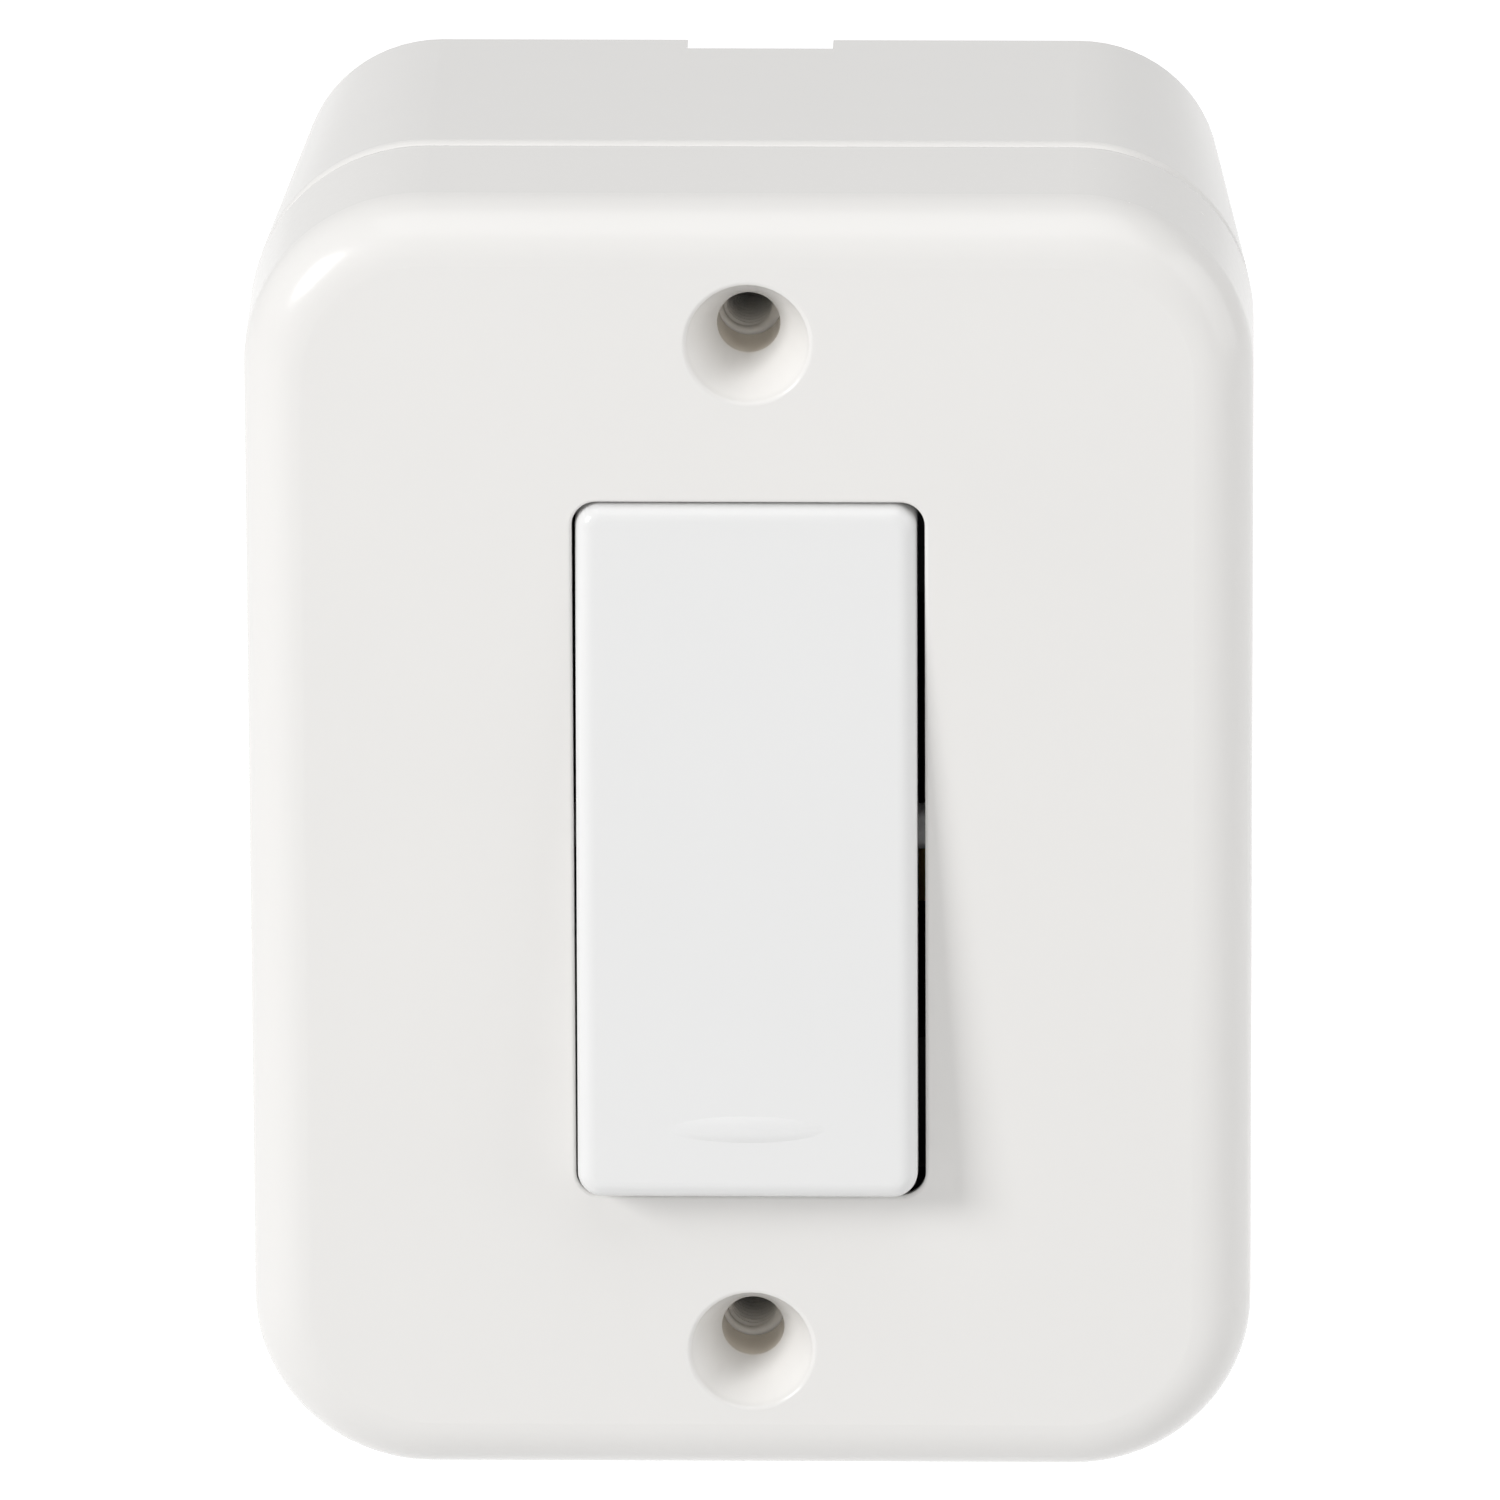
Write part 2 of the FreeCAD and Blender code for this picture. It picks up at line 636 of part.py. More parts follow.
def cage_places():
    """Axes (x, z) of the common, upper and lower clamp cages."""
    return [(-cage_x, 0.0), (cage_x, contact_pitch), (cage_x, -contact_pitch)]


def mechanism_base():
    """Insulating plate with pads under the strips and holes for rivets and screws."""
    parts = [slab(base_width, base_height, base_corner, base_front_y, base_back_y)]
    half = strip_width / 2
    cage_reach = cage_width / 2 + cage_gap
    for x, z in cage_places():
        start = lever_width / 2 + ear_clear + ear_thickness if x < 0 else step_x - strip_thickness
        parts.append(block(start, x - math.copysign(cage_reach, x), strip_back_y, base_front_y + bite,
                           z - half, z + half))
    pad_front = fixed_face_y() + contact_head + strip_thickness + rivet_tail + hole_fit
    seat_front = fixed_face_y() + contact_head + strip_thickness
    for side in (-1, 1):
        z = side * contact_pitch
        pad = block(-contact_radius - strip_end, contact_radius + strip_end, seat_front,
                    base_front_y + bite, z - half, z + half)
        tail_hole = rivet_shank + rivet_tail_edge + rivet_tail_room
        parts.append(pad.cut(rod(tail_hole, seat_front - over, pad_front, 0, z)))
    body = fuse(*parts)
    for side in (-1, 1):
        body = body.cut(rod(rivet_radius + hole_fit, base_front_y - over, base_back_y + over,
                            0, side * rivet_z()))
        for x in (-mount_screw_x, mount_screw_x):
            body = body.cut(rod(mount_screw_radius + hole_fit, base_front_y - over, base_back_y + over,
                                x, side * mount_screw_z))
    return body


def housing_rivets():
    """Two rivets through the housing's feet and the base."""
    solids = []
    for side in (-1, 1):
        z = side * rivet_z()
        front = base_front_y - foot_thickness
        solids.append(fuse(rod(rivet_head_radius, front - rivet_head_height, front, 0, z),
                           rod(rivet_radius, front, base_back_y, 0, z),
                           rod(rivet_head_radius, base_back_y, base_back_y + rivet_head_height, 0, z)))
    return Part.Compound(solids)


def mechanism_screws():
    """Four pan-head screws with cross slots that hold the base on the posts."""
    solids = []
    for x in (-mount_screw_x, mount_screw_x):
        for z in (-mount_screw_z, mount_screw_z):
            top = base_front_y - mount_head_height
            head = rod(mount_head_radius, top, base_front_y, x, z)
            head = head.makeChamfer(mount_head_chamfer, edges_at(head, top))
            body = fuse(head, rod(mount_screw_radius, base_front_y, mount_tip_y, x, z))
            for wide, tall in ((cross_half_length, cross_half_width),
                               (cross_half_width, cross_half_length)):
                body = body.cut(block(x - wide, x + wide, top - over, top + slot_depth,
                                      z - tall, z + tall))
            solids.append(body)
    return Part.Compound(solids)


def export(name, shape):
    """Write one node's STEP file."""
    shape.exportStep("parts/" + name + ".step")


export("front_cover", front_cover())
export("rear_box", rear_box())
export("threaded_inserts", threaded_inserts())
export("rocker", rocker())
export("plunger", plunger())
export("plunger_spring", plunger_spring())
export("contact_lever", contact_lever())
export("mechanism_housing", mechanism_housing())
export("mechanism_base", mechanism_base())
export("housing_rivets", housing_rivets())
export("mechanism_screws", mechanism_screws())
export("common_terminal", common_terminal())
for word, sign in (("upper", 1), ("lower", -1)):
    export("moving_contact_" + word, moving_contact(sign))
    export("fixed_contact_" + word, fixed_contact(sign))
    export(word + "_terminal", side_terminal(sign))
for word, (place_x, place_z) in zip(("common", "upper", "lower"), cage_places()):
    export(word + "_clamp_cage", cage(place_x, place_z))
    export(word + "_clamp_screw", clamp_screw(place_x, place_z))
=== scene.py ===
"""Looks of a surface-mounted rocker wall switch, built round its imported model.

Laid out as an add-on and run as a script. Lengths are in metres in the switch's own
frame: +X right, the front faces -Y, +Z up, and the wall plane is at Y = 0.
"""
import json
import math

import bpy
import numpy as np
from mathutils import Matrix, Vector


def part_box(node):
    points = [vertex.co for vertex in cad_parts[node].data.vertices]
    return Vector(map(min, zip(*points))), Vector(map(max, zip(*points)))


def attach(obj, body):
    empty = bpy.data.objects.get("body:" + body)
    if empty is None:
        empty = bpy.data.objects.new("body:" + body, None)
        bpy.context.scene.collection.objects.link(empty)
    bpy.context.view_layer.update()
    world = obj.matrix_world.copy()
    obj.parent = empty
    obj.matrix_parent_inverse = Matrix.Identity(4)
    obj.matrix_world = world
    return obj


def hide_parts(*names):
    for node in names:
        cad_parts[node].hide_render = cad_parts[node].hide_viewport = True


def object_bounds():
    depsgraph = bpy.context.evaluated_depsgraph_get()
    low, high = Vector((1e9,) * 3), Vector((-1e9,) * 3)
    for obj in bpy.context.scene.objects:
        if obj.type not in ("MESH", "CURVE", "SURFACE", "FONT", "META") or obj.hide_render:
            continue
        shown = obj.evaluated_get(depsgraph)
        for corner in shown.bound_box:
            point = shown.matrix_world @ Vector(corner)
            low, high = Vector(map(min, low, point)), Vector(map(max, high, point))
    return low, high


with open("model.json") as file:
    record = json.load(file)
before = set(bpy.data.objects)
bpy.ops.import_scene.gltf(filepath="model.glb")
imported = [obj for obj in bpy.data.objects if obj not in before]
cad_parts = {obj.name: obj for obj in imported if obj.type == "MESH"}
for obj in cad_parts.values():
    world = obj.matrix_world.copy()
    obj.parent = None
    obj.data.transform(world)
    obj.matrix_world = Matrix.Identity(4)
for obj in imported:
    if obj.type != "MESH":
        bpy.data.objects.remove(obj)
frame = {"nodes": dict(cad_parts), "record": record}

bl_info = {
    "name": "Rocker Wall Switch",
    "version": (1, 0, 0),
    "blender": (4, 5, 0),
    "location": "View3D > Sidebar > Switch",
    "description": "Finishes, threaded inserts and stage for a surface-mounted rocker wall switch",
    "category": "Object",
}

MM = 0.001
CAD_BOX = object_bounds()
FACE_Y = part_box("front_cover")[0].y
INSERT_LOW, INSERT_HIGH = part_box("threaded_inserts")
MOUNTS = {m["name"]: m for m in frame["record"]["mounts"]}
SCREW_Z = MOUNTS["cover_screws"]["dims"]["spacing_y_mm"] * MM / 2
SCREW_HOLE = MOUNTS["cover_screws"]["dims"]["hole_r_mm"] * MM
SINK_Y = MOUNTS["cover_screws"]["pos_m"][1]
SINK_RIM = 4.05 * MM  # radius of the countersinks' rims
INSERT_BORE = MOUNTS["upper_insert"]["dims"]["r_mm"] * MM


# --- Settings ---------------------------------------------------------------

def colour(name, description, default):
    """A colour setting in linear light."""
    return bpy.props.FloatVectorProperty(name=name, description=description, subtype="COLOR",
                                         size=3, min=0.0, max=1.0, default=default)


def length(name, description, default):
    """A length setting in metres."""
    return bpy.props.FloatProperty(name=name, description=description, default=default,
                                   min=0.0, unit="LENGTH", precision=5)


def amount(name, description, default, high=1.0):
    """A plain factor."""
    return bpy.props.FloatProperty(name=name, description=description, default=default,
                                   min=0.0, max=high, subtype="FACTOR")


class SwitchFinish(bpy.types.PropertyGroup):
    """Colours and gloss of the switch's materials."""
    cover: colour("Cover", "Warm white moulding of the front cover", (0.815, 0.803, 0.785))
    box: colour("Rear box", "Moulding of the rear box", (0.815, 0.803, 0.785))
    key: colour("Key", "Slightly cooler white of the rocker key", (0.809, 0.809, 0.806))
    # Painted shade: the bore colour is a light brown tint deep in the screw holes, standing in for
    # the dim, warm light there, not a colour of the plastic.
    bore: colour("Screw bore", "Light brown shade deep in the screw holes", (0.90, 0.84, 0.75))
    housing: colour("Housing", "Black moulding behind the key", (0.020, 0.019, 0.018))
    nylon: colour("Plunger", "Natural nylon of the plunger", (0.74, 0.70, 0.60))
    brass: colour("Brass", "Stamped brass of strips and cages", (0.72, 0.52, 0.22))
    copper: colour("Lever", "Rolled copper alloy of the contact lever", (0.74, 0.36, 0.20))
    silver: colour("Contacts", "Silver alloy of the contacts", (0.80, 0.79, 0.76))
    insert: colour("Inserts", "Dull pale plate of the threaded inserts", (0.92, 0.90, 0.87))
    zinc: colour("Zinc plate", "Plated steel of rivets and screws", (0.62, 0.61, 0.60))
    wire: colour("Spring wire", "Drawn spring wire", (0.42, 0.41, 0.40))
    gloss: amount("Moulding roughness", "Roughness of the white mouldings", 0.22)


class SwitchSizes(bpy.types.PropertyGroup):
    """Sizes of the pieces that are made here."""
    thread_pitch: length("Thread pitch", "Pitch of the insert's thread", 0.6 * MM)
    thread_depth: length("Thread depth", "Root depth of the insert's thread", 0.33 * MM)
    knurl_depth: length("Knurl depth", "Depth of the diamond knurl on the inserts", 0.12 * MM)


class SwitchStage(bpy.types.PropertyGroup):
    """Camera and light."""
    distance: length("Camera distance", "From the camera to the middle of the switch", 1.5)
    azimuth: bpy.props.FloatProperty(name="Azimuth", description="Camera turned to the right",
                                     default=math.radians(1.31), subtype="ANGLE")
    elevation: bpy.props.FloatProperty(name="Elevation", description="Camera above the switch",
                                       default=math.radians(19.7), subtype="ANGLE")
    roll: bpy.props.FloatProperty(name="Roll", description="Camera turned about its own axis",
                                  default=math.radians(-0.26), subtype="ANGLE")
    lens: bpy.props.FloatProperty(name="Lens", description="Focal length on a 36 mm sensor",
                                  default=550.0, unit="CAMERA")
    floor_drop: length("Floor drop", "Floor below the switch's lowest point", 0.25)
    key_light: amount("Key light", "Watts of the large lamp at upper left", 11.5, 100.0)
    top_light: amount("Top light", "Watts of the soft lamp overhead", 6.0, 100.0)
    fill_light: amount("Fill light", "Watts of the soft lamp at the right", 5.5, 100.0)
    sky: amount("Sky", "Strength of the even light from all round", 0.5, 5.0)
    floor_glow: amount("Floor glow", "Light the floor adds to what the camera sees of it",
                       0.62, 5.0)


# --- Shader expressions -----------------------------------------------------

class Value:
    """A socket; arithmetic on it adds Math nodes to its tree."""

    def __init__(self, paint, socket):
        self.paint = paint
        self.socket = socket

    def math(self, operation, *others):
        return self.paint.node("ShaderNodeMath", {"operation": operation},
                               dict(enumerate((self, *others))))

    def __add__(self, other):
        return self.math("ADD", other)

    __radd__ = __add__

    def __mul__(self, other):
        return self.math("MULTIPLY", other)

    __rmul__ = __mul__

    def __sub__(self, other):
        return self.math("SUBTRACT", other)

    def __rsub__(self, other):
        return self.paint.node("ShaderNodeMath", {"operation": "SUBTRACT"}, {0: other, 1: self})

    def __abs__(self):
        return self.math("ABSOLUTE")

    def __pow__(self, other):
        return self.math("POWER", other)

    def ramp(self, low, high, from_value=0.0, to_value=1.0):
        """Smooth step of this value from low to high."""
        return self.paint.node("ShaderNodeMapRange", {"interpolation_type": "SMOOTHSTEP"},
                               {"Value": self, "From Min": low, "From Max": high,
                                "To Min": from_value, "To Max": to_value})


class Paint:
    """Node tree of one material or world under construction."""

    def __init__(self, holder, output="ShaderNodeOutputMaterial"):
        """Clears the tree of a new material or world and gives it an output node."""
        holder.use_nodes = True
        self.holder = holder
        self.tree = holder.node_tree
        self.tree.nodes.clear()
        self.output = self.tree.nodes.new(output)

    def node(self, kind, settings=None, values=None, out=0):
        """Adds a node: its settings first, then the values or links of its sockets."""
        node = self.tree.nodes.new(kind)
        for key, value in (settings or {}).items():
            setattr(node, key, value)
        for key, value in (values or {}).items():
            if isinstance(value, Value):
                self.tree.links.new(value.socket, node.inputs[key])
            else:
                node.inputs[key].default_value = value
        return Value(self, node.outputs[out])

    def place(self):
        """Object coordinates."""
        return self.node("ShaderNodeTexCoord", out="Object")

    def split(self, vector):
        """The three parts of a vector."""
        node = self.node("ShaderNodeSeparateXYZ", values={0: vector}).socket.node
        return [Value(self, socket) for socket in node.outputs]

    def noise(self, vector, size, detail=2.0, rough=0.5):
        """Noise from 0 to 1 whose features are about size metres across."""
        return self.node("ShaderNodeTexNoise", {"noise_dimensions": "3D"},
                         {"Vector": vector, "Scale": 1.0 / size, "Detail": detail,
                          "Roughness": rough})

    def stretched(self, vector, scale):
        """Coordinates stretched per axis."""
        return self.node("ShaderNodeVectorMath", {"operation": "MULTIPLY"},
                         {0: vector, 1: scale})

    def mix(self, low, high, factor):
        """Colour between low and high; plain colours are three numbers."""
        def four(item):
            return item if isinstance(item, Value) else (*item, 1.0)
        kind = {"data_type": "RGBA", "clamp_factor": True}
        return self.node("ShaderNodeMix", kind, {0: factor, 6: four(low), 7: four(high)}, out=2)

    def bump(self, height, distance):
        """Normal from a height map; distance is in metres."""
        values = {"Height": height, "Distance": distance, "Strength": 1.0}
        return self.node("ShaderNodeBump", values=values)

    def finish(self, **sockets):
        """Principled surface; keywords are socket names with _ for a space."""
        values = {key.replace("_", " "): value for key, value in sockets.items()}
        shader = self.node("ShaderNodeBsdfPrincipled", values=values)
        self.tree.links.new(shader.socket, self.output.inputs["Surface"])
        return self.holder


def shade(rgb, factor):
    """A plain colour made lighter or darker."""
    return tuple(min(1.0, channel * factor) for channel in rgb)


# --- Materials --------------------------------------------------------------

def moulded_white(name, rgb, roughness, bore=None, fine=True):
    """Satin moulding with faint flow mottling.

    Fine adds orange peel and a few hairline scuffs. Bore is painted shade inside the screw
    holes, past the countersinks, which carry painted light: a little lighter than the face.
    """
    paint = Paint(bpy.data.materials.new(name))
    place = paint.place()
    cloud = paint.noise(place, 18 * MM, 3.0)
    base = paint.mix(shade(rgb, 0.985), shade(rgb, 1.012), cloud)
    rough = roughness + (cloud - 0.5) * 0.06
    normal = {}
    if fine:
        grain = paint.noise(place, 0.45 * MM, 2.0, 0.6)
        peel = paint.noise(place, 1.6 * MM, 2.0)
        scuffs = paint.noise(paint.stretched(place, (1.0, 1.0, 0.05)), 0.5 * MM, 3.0, 0.7)
        scuff_mask = scuffs.ramp(0.68, 0.78) * cloud.ramp(0.5, 0.7)
        base = paint.mix(base, shade(rgb, 0.95), scuff_mask * 0.25)
        rough = rough + (grain - 0.5) * 0.08 + scuff_mask * 0.12
        normal = {"Normal": paint.bump(peel, 0.004 * MM)}
    if bore is not None:
        x, y, z = paint.split(place)
        from_axis = (x * x + (abs(z) - SCREW_Z) ** 2.0) ** 0.5
        deep = y.ramp(SINK_Y - 0.2 * MM, SINK_Y + 0.3 * MM)
        inside = from_axis.ramp(SCREW_HOLE + 0.1 * MM, SCREW_HOLE + 0.3 * MM, 1.0, 0.0)
        # Painted light: the countersinks are painted 7 % lighter than the face, standing in for
        # light reaching into them.
        painted_light_cone = from_axis.ramp(SINK_RIM - 0.3 * MM, SINK_RIM, 1.0, 0.0)
        base = paint.mix(base, shade(rgb, 1.07), painted_light_cone)
        # Painted shade: past the countersink, inside the screw hole, the moulding takes the bore
        # colour, a light brown tint standing in for the warm dim light deep in the hole.
        base = paint.mix(base, bore, inside * deep)
    return paint.finish(Base_Color=base, Roughness=rough, IOR=1.5, **normal)


def thermoset_black(name, rgb):
    """Matt black moulding with a fine grain and pale filler specks."""
    paint = Paint(bpy.data.materials.new(name))
    place = paint.place()
    grain = paint.noise(place, 0.35 * MM, 3.0, 0.6)
    cloud = paint.noise(place, 7 * MM, 2.0)
    speck = paint.noise(place, 0.2 * MM, 1.0).ramp(0.72, 0.8)
    base = paint.mix(paint.mix(shade(rgb, 0.8), shade(rgb, 1.3), cloud), shade(rgb, 3.0), speck)
    return paint.finish(Base_Color=base, Roughness=0.62 + (grain - 0.5) * 0.2,
                        Normal=paint.bump(grain, 0.02 * MM), IOR=1.5)


def natural_nylon(name, rgb):
    """Waxy natural nylon with faint turning marks across its length."""
    paint = Paint(bpy.data.materials.new(name))
    place = paint.place()
    cloud = paint.noise(place, 2.5 * MM, 2.0)
    rings = paint.noise(paint.stretched(place, (0.1, 1.0, 0.1)), 0.2 * MM, 2.0)
    base = paint.mix(shade(rgb, 0.92), shade(rgb, 1.05), cloud)
    return paint.finish(Base_Color=base, Roughness=0.42 + (cloud - 0.5) * 0.1,
                        Normal=paint.bump(rings, 0.01 * MM), IOR=1.53,
                        Subsurface_Weight=0.1)


def rolled_metal(name, rgb, roughness, along, tarnish=0.3):
    """Rolled or drawn metal: fine lines along one axis, tarnish in clouds."""
    paint = Paint(bpy.data.materials.new(name))
    place = paint.place()
    scale = [1.0, 1.0, 1.0]
    scale[along] = 0.04
    lines = paint.noise(paint.stretched(place, scale), 0.12 * MM, 3.0, 0.6)
    cloud = paint.noise(place, 4 * MM, 4.0, 0.6)
    stain = cloud.ramp(0.45, 0.75)
    base = paint.mix(rgb, shade(rgb, 0.55), stain * tarnish)
    base = paint.mix(base, shade(rgb, 1.12), lines * 0.35)
    return paint.finish(Base_Color=base, Metallic=1.0,
                        Roughness=roughness + (lines - 0.5) * 0.12 + stain * 0.15,
                        Normal=paint.bump(lines, 0.006 * MM))


def plated(name, rgb, roughness, metallic=1.0):
    """Plated metal: a satin plate with slightly darker blooms and tiny pits."""
    paint = Paint(bpy.data.materials.new(name))
    place = paint.place()
    bloom = paint.noise(place, 1.8 * MM, 4.0, 0.6)
    pits = paint.noise(place, 0.15 * MM, 2.0)
    base = paint.mix(shade(rgb, 0.86), shade(rgb, 1.1), bloom)
    return paint.finish(Base_Color=base, Metallic=metallic,
                        Roughness=roughness + (bloom - 0.5) * 0.2,
                        Normal=paint.bump(pits, 0.006 * MM))


def dress(node, material):
    """Gives a carried-over node its material in every slot."""
    mesh = frame["nodes"][node].data
    mesh.materials.clear()
    mesh.materials.append(material)
    mesh.polygons.foreach_set("material_index", np.zeros(len(mesh.polygons), np.int32))


# --- Surfaces ---------------------------------------------------------------

def grid_piece(name, points, material, body, replaced=()):
    """A surface closed both ways round, from a grid of points (rows, columns, 3).

    Each quad joins neighbours in the row and column; the last row and column join the
    first ones, so the surface has no seam.
    """
    rows, columns = points.shape[:2]
    row, column = np.meshgrid(np.arange(rows), np.arange(columns), indexing="ij")
    after_row = (row + 1) % rows
    after_column = (column + 1) % columns
    quads = np.stack([row * columns + column, row * columns + after_column,
                      after_row * columns + after_column, after_row * columns + column], -1)
    mesh_piece(name, points.reshape(-1, 3), quads.reshape(-1, 4), material, body,
               replaced)


def mesh_piece(name, vertices, quads, material, body, replaced=()):
    """A mesh object at the origin that rides on a body."""
    mesh = bpy.data.meshes.new(name)
    mesh.vertices.add(len(vertices))
    mesh.vertices.foreach_set("co", np.ascontiguousarray(vertices, np.float32).ravel())
    mesh.loops.add(quads.size)
    mesh.loops.foreach_set("vertex_index", quads.astype(np.int32).ravel())
    mesh.polygons.add(len(quads))
    mesh.polygons.foreach_set("loop_start", np.arange(len(quads), dtype=np.int32) * 4)
    mesh.polygons.foreach_set("use_smooth", np.ones(len(quads), bool))
    mesh.update(calc_edges=True)
    mesh.validate()
    mesh.materials.append(material)
    piece = bpy.data.objects.new(name, mesh)
    bpy.context.scene.collection.objects.link(piece)
    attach(piece, body)
    if replaced:
        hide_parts(*replaced)


OUTSIDE_ROWS = 90
BORE_ROWS = 260
INSERT_COLUMNS = 192
KNURL_LINES = 30
KNURL_BANDS = 3
BAND_HALF = 0.42
LEAD_IN = 0.3 * MM


def insert_points(z, sizes):
    """Threaded insert about the axis at height z.

    The profile runs up the outside, over the front face, down the bore and over the
    back face. Outside, the radius drops by a diamond knurl, the product of two slanted
    cosine waves, and two plain grooves part the knurl in bands. In the bore the radius
    swings out from the minor radius by a clipped triangle wave whose phase is the depth
    over the pitch less the angle over a turn.
    """
    front, back = INSERT_LOW.y, INSERT_HIGH.y
    outer = INSERT_HIGH.x
    angle = np.linspace(0, 2 * np.pi, INSERT_COLUMNS, endpoint=False)
    edge = 0.15 * MM
    outside = np.linspace(back - edge, front + edge, OUTSIDE_ROWS)
    bore = np.linspace(front + LEAD_IN, back - edge, BORE_ROWS)
    depth = np.concatenate([outside, [front, front], bore, [back, back]])
    lead = sizes.thread_depth * 0.9
    radius = np.concatenate([np.full(OUTSIDE_ROWS, outer), [outer - edge, INSERT_BORE + lead],
                             np.full(BORE_ROWS, INSERT_BORE), [INSERT_BORE + edge, outer - edge]])
    depth, turn = np.meshgrid(depth, angle, indexing="ij")
    radius = np.repeat(radius[:, None], INSERT_COLUMNS, 1)
    slant = (depth - front) * KNURL_LINES / outer
    knurl = np.cos(KNURL_LINES * turn + slant) * np.cos(KNURL_LINES * turn - slant)
    share = (depth - front) / (back - front)
    band = np.clip(1 - np.abs(share * KNURL_BANDS % 1 - 0.5) / BAND_HALF, 0, 1) ** 0.3
    phase = (depth / sizes.thread_pitch - turn / (2 * np.pi)) % 1
    tooth = np.clip(np.abs(2 * phase - 1) * 1.25 - 0.125, 0, 1)
    fade = np.clip((depth - front) / LEAD_IN, 0, 1)
    rows = np.arange(radius.shape[0])[:, None]
    on_outside = rows < OUTSIDE_ROWS
    bore_start = OUTSIDE_ROWS + 2
    on_bore = (rows >= bore_start) & (rows < bore_start + BORE_ROWS)
    radius = radius - on_outside * sizes.knurl_depth * (0.5 + 0.5 * knurl) * band
    radius = radius - on_outside * sizes.knurl_depth * 2.5 * (1 - band)
    radius = radius + on_bore * sizes.thread_depth * tooth * fade
    return np.stack([radius * np.cos(turn), depth, z + radius * np.sin(turn)], -1)


# --- Operators --------------------------------------------------------------

class SWITCH_OT_mouldings(bpy.types.Operator):
    """Finish the front cover and the rear box"""
    bl_idname = "switch.mouldings"
    bl_label = "White Mouldings"

    def execute(self, context):
        finish = context.scene.switch_finish
        dress("front_cover", moulded_white("cover_white", tuple(finish.cover), finish.gloss,
                                           tuple(finish.bore)))
        dress("rear_box", moulded_white("box_white", tuple(finish.box), finish.gloss + 0.04,
                                        fine=False))
        return {"FINISHED"}


class SWITCH_OT_key(bpy.types.Operator):
    """Finish the rocker key and its plunger"""
    bl_idname = "switch.key"
    bl_label = "Rocker Key"

    def execute(self, context):
        finish = context.scene.switch_finish
        dress("rocker", moulded_white("key_white", tuple(finish.key), finish.gloss - 0.04))
        dress("plunger", natural_nylon("plunger_nylon", tuple(finish.nylon)))
        dress("plunger_spring", rolled_metal("spring_wire", tuple(finish.wire), 0.3, 1, 0.1))
        return {"FINISHED"}


class SWITCH_OT_inserts(bpy.types.Operator):
    """Make the two threaded inserts with their thread and knurl"""
    bl_idname = "switch.inserts"
    bl_label = "Threaded Inserts"

    def execute(self, context):
        sizes = context.scene.switch_sizes
        plate = plated("insert_plate", tuple(context.scene.switch_finish.insert), 0.45, 0.1)
        for word, side in (("upper", 1), ("lower", -1)):
            replaced = ("threaded_inserts",) if side > 0 else ()
            grid_piece(word + "_insert", insert_points(side * SCREW_Z, sizes), plate,
                       "case", replaced)
        return {"FINISHED"}


class SWITCH_OT_mechanism(bpy.types.Operator):
    """Finish the housing, the base and the metalwork inside"""
    bl_idname = "switch.mechanism"
    bl_label = "Mechanism"

    def execute(self, context):
        finish = context.scene.switch_finish
        black = thermoset_black("housing_black", tuple(finish.housing))
        for node in ("mechanism_housing", "mechanism_base"):
            dress(node, black)
        brass = rolled_metal("strip_brass", tuple(finish.brass), 0.3, 0)
        for word in ("common", "upper", "lower"):
            dress(word + "_terminal", brass)
            dress(word + "_clamp_cage", brass)
        plate = plated("screw_plate", tuple(finish.zinc), 0.3)
        for node in ("common_clamp_screw", "upper_clamp_screw", "lower_clamp_screw",
                     "housing_rivets", "mechanism_screws"):
            dress(node, plate)
        dress("contact_lever", rolled_metal("lever_copper", tuple(finish.copper), 0.28, 2))
        silver = rolled_metal("contact_silver", tuple(finish.silver), 0.24, 0, 0.15)
        for word in ("upper", "lower"):
            dress("moving_contact_" + word, silver)
            dress("fixed_contact_" + word, silver)
        return {"FINISHED"}


def area_lamp(name, place, aim, size, watts):
    """A square area lamp that points at aim."""
    data = bpy.data.lights.new(name, "AREA")
    data.shape = "SQUARE"
    data.size = size
    data.energy = watts
    lamp = bpy.data.objects.new(name, data)
    direction = Vector(aim) - Vector(place)
    turn = direction.to_track_quat("-Z", "Y").to_matrix().to_4x4()
    lamp.matrix_world = Matrix.Translation(Vector(place)) @ turn
    bpy.context.scene.collection.objects.link(lamp)


def seen_plainly(paint):
    """1 for camera, glossy and transmitted rays, 0 for all other light."""
    path = paint.node("ShaderNodeLightPath").socket.node
    seen = Value(paint, path.outputs["Is Camera Ray"])
    for word in ("Is Glossy Ray", "Is Transmission Ray"):
        seen = seen.math("MAXIMUM", Value(paint, path.outputs[word]))
    return seen


KEY_LAMP_PLACE, KEY_LAMP_SIZE = (-1.05, -0.87, 0.6), 0.48
TOP_LAMP_PLACE, TOP_LAMP_SIZE = (0.1, -0.5, 1.4), 1.4
FILL_LAMP_PLACE, FILL_LAMP_SIZE = (1.3, -0.35, 0.4), 1.2
AIM_FROM_FACE = Vector((-0.28 * MM, 15 * MM, 1.61 * MM))
FLOOR_HALF = 3.0


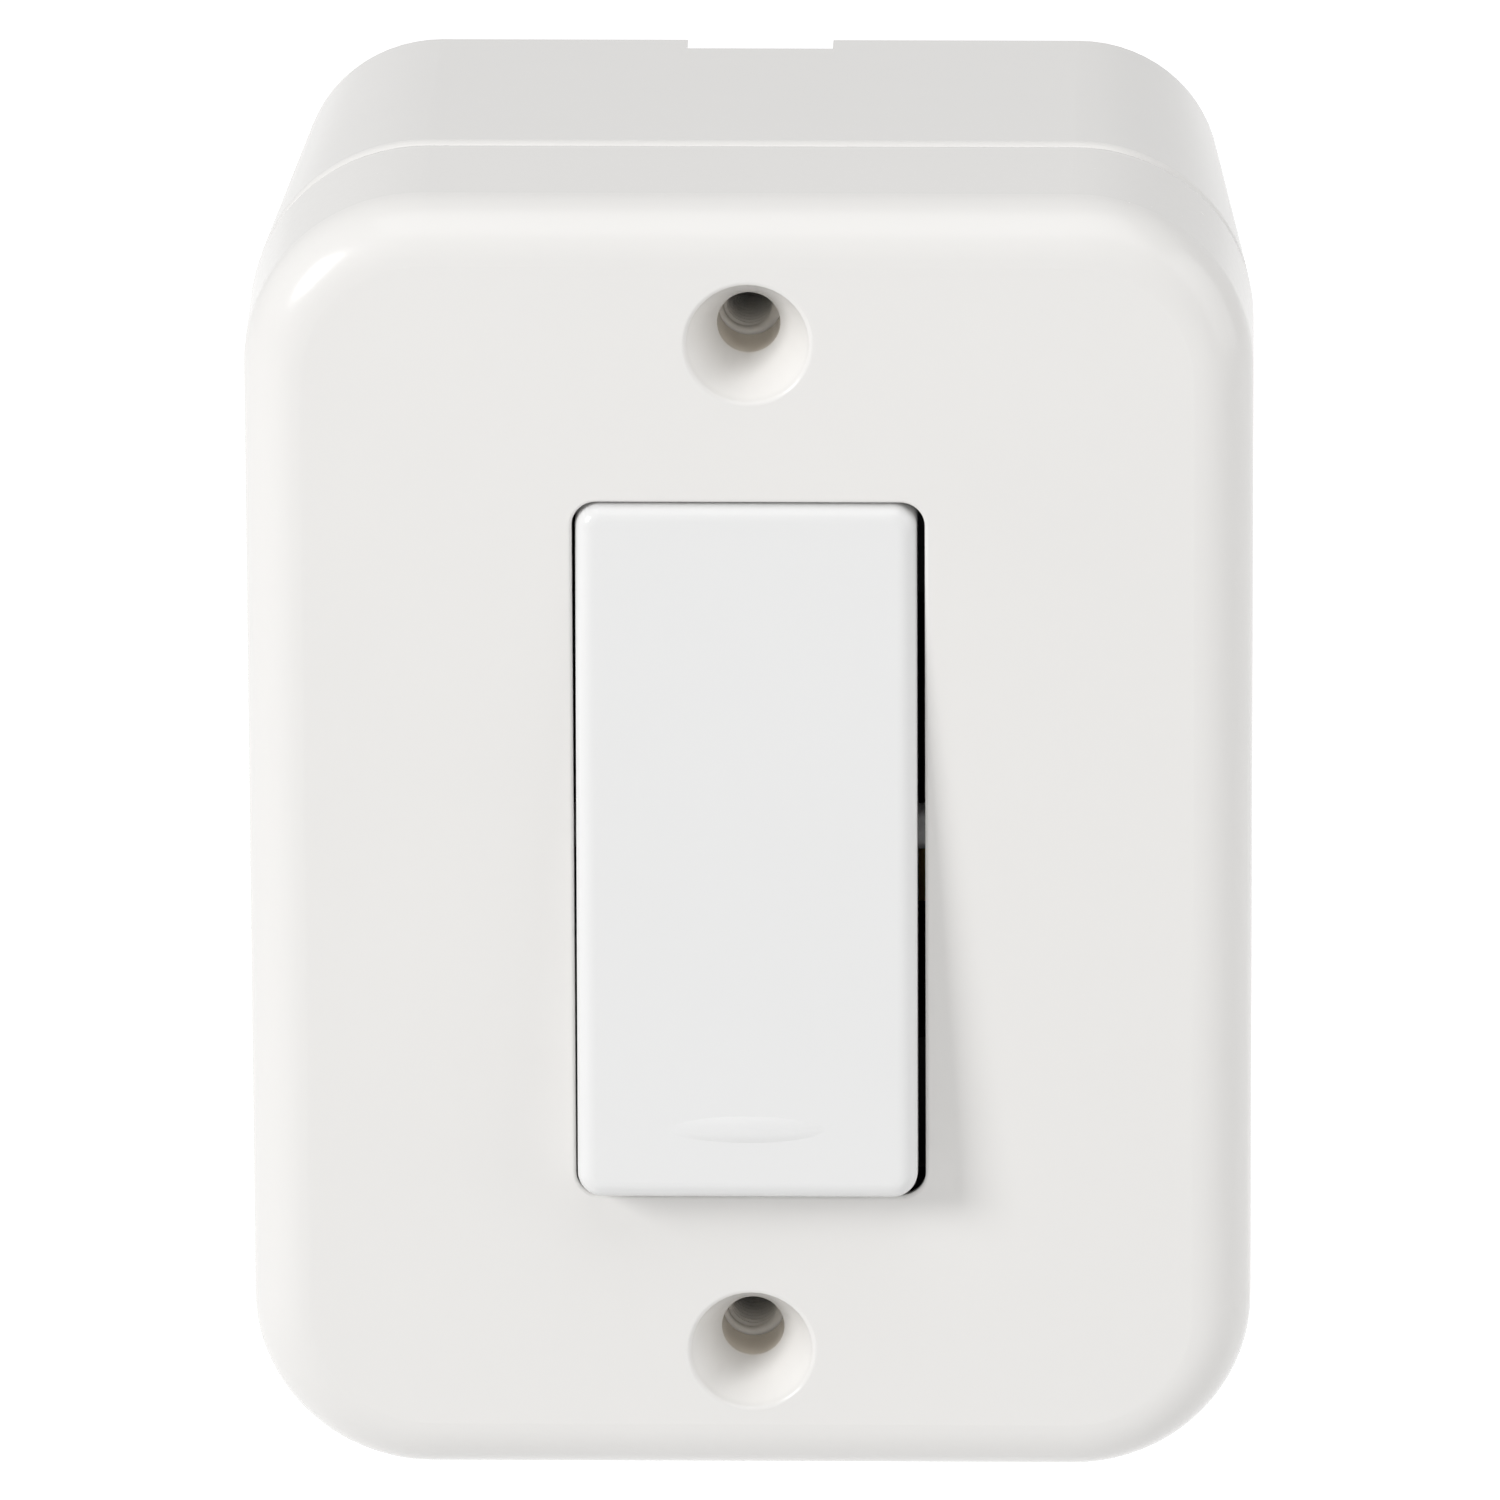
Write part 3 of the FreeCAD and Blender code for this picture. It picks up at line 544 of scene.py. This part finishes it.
class SWITCH_OT_stage(bpy.types.Operator):
    """Set the floor, world, lamps and camera"""
    bl_idname = "switch.stage"
    bl_label = "Stage"

    def execute(self, context):
        stage = context.scene.switch_stage
        scene = context.scene
        middle = Vector((0.0, FACE_Y, 0.0)) + AIM_FROM_FACE
        self.floor(CAD_BOX[0][2] - stage.floor_drop, stage.floor_glow)
        self.world(scene, stage.sky)
        area_lamp("key_lamp", KEY_LAMP_PLACE, middle, KEY_LAMP_SIZE, stage.key_light)
        area_lamp("top_lamp", TOP_LAMP_PLACE, middle, TOP_LAMP_SIZE, stage.top_light)
        area_lamp("fill_lamp", FILL_LAMP_PLACE, middle, FILL_LAMP_SIZE, stage.fill_light)
        self.camera(scene, stage, middle)
        scene.view_settings.view_transform = "Standard"
        return {"FINISHED"}

    def floor(self, height, glow_level):
        half = FLOOR_HALF
        corners = [(-half, -half, height), (half, -half, height),
                   (half, half, height), (-half, half, height)]
        mesh = bpy.data.meshes.new("floor")
        mesh.from_pydata(corners, [], [(0, 1, 2, 3)])
        paint = Paint(bpy.data.materials.new("floor_white"))
        cloud = paint.noise(paint.place(), 0.3, 2.0)
        shader = paint.node("ShaderNodeBsdfDiffuse", values={
            "Color": paint.mix((0.84, 0.84, 0.84), (0.88, 0.88, 0.88), cloud)})
        level = seen_plainly(paint) * glow_level
        glow = paint.node("ShaderNodeEmission", values={"Strength": level})
        both = paint.node("ShaderNodeAddShader", values={0: shader, 1: glow})
        paint.tree.links.new(both.socket, paint.output.inputs["Surface"])
        mesh.materials.append(paint.holder)
        floor = bpy.data.objects.new("floor", mesh)
        bpy.context.scene.collection.objects.link(floor)

    def world(self, scene, strength):
        scene.world = bpy.data.worlds.new("studio")
        paint = Paint(scene.world, "ShaderNodeOutputWorld")
        light = seen_plainly(paint).ramp(0.0, 1.0, strength, 1.0)
        background = paint.node("ShaderNodeBackground", values={"Strength": light})
        paint.tree.links.new(background.socket, paint.output.inputs["Surface"])

    def camera(self, scene, stage, middle):
        data = bpy.data.cameras.new("camera")
        data.sensor_width = 36.0
        data.lens = stage.lens
        data.clip_start = 0.01
        data.clip_end = 20.0
        camera = bpy.data.objects.new("camera", data)
        flat = math.cos(stage.elevation)
        back = Vector((math.sin(stage.azimuth) * flat, -math.cos(stage.azimuth) * flat,
                       math.sin(stage.elevation)))
        turn = (-back).to_track_quat("-Z", "Y").to_matrix().to_4x4()
        roll = Matrix.Rotation(stage.roll, 4, "Z")
        camera.matrix_world = Matrix.Translation(middle + back * stage.distance) @ turn @ roll
        scene.collection.objects.link(camera)
        scene.camera = camera


class SWITCH_PT_panel(bpy.types.Panel):
    """Sidebar panel with the switch's settings and steps"""
    bl_label = "Rocker Wall Switch"
    bl_idname = "SWITCH_PT_panel"
    bl_space_type = "VIEW_3D"
    bl_region_type = "UI"
    bl_category = "Switch"

    def draw(self, context):
        layout = self.layout
        for group in ("switch_finish", "switch_sizes", "switch_stage"):
            settings = getattr(context.scene, group)
            box = layout.box()
            for name in settings.bl_rna.properties.keys():
                if name not in ("rna_type", "name"):
                    box.prop(settings, name)
        for step in STEPS:
            layout.operator(step.bl_idname)


STEPS = (SWITCH_OT_stage, SWITCH_OT_mouldings, SWITCH_OT_key, SWITCH_OT_inserts,
         SWITCH_OT_mechanism)
GROUPS = {"switch_finish": SwitchFinish, "switch_sizes": SwitchSizes,
          "switch_stage": SwitchStage}


def register():
    """Registers every class and puts the settings on the scene."""
    for item in (*GROUPS.values(), *STEPS, SWITCH_PT_panel):
        bpy.utils.register_class(item)
    for name, group in GROUPS.items():
        setattr(bpy.types.Scene, name, bpy.props.PointerProperty(type=group))


def unregister():
    """Takes the settings and the classes off again."""
    for name in GROUPS:
        delattr(bpy.types.Scene, name)
    for item in (SWITCH_PT_panel, *STEPS[::-1], *GROUPS.values()):
        bpy.utils.unregister_class(item)


def main():
    """Runs every step in order."""
    register()
    bpy.ops.switch.stage()
    bpy.ops.switch.mouldings()
    bpy.ops.switch.key()
    bpy.ops.switch.inserts()
    bpy.ops.switch.mechanism()


if __name__ == "__main__":
    main()
